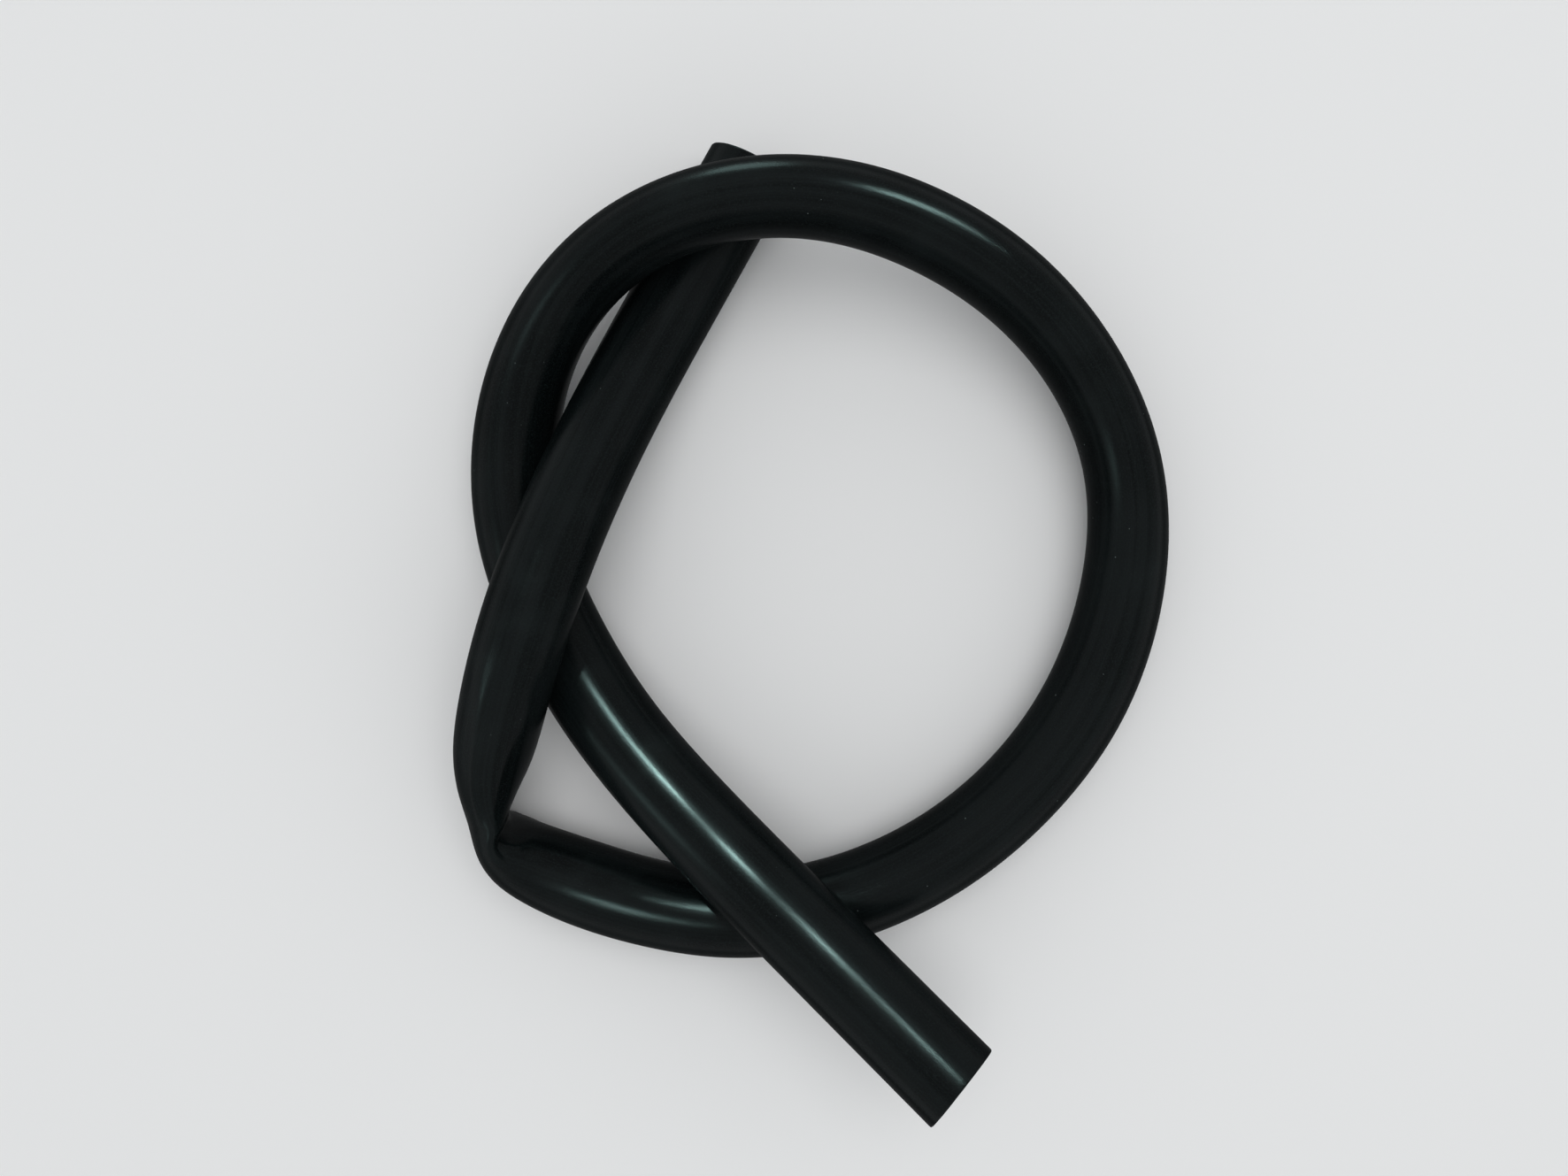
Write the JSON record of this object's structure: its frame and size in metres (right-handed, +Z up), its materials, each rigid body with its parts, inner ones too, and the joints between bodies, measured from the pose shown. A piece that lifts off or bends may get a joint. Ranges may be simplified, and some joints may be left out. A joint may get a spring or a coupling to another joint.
{
  "type": "soaker hose",
  "caption": "Short length of soft black soaker hose lying in a loose overhand knot with one kink, both ends cut square and open.",
  "frame": {"origin": "on the surface that the hose lies on, under the middle of the knot's outline", "axes": "+Z up from the surface, +Y from the raised open end towards the tucked end, +X to the right seen from above"},
  "size_m": [0.128, 0.1702, 0.0379],
  "materials": {
    "hose": "smooth satin extruded black rubber, fine lengthwise extrusion lines, faint dust"
  },
  "bodies": {
    "root": {"open_end": "hose", "over_strand": "hose", "pinned_strand": "hose", "left_arc": "hose", "crown_arc": "hose", "right_arc": "hose", "return_arc": "hose", "lower_arc": "hose", "kink": "hose", "climbing_strand": "hose", "tail_strand": "hose", "tucked_end": "hose"}
  },
  "joints": []
}
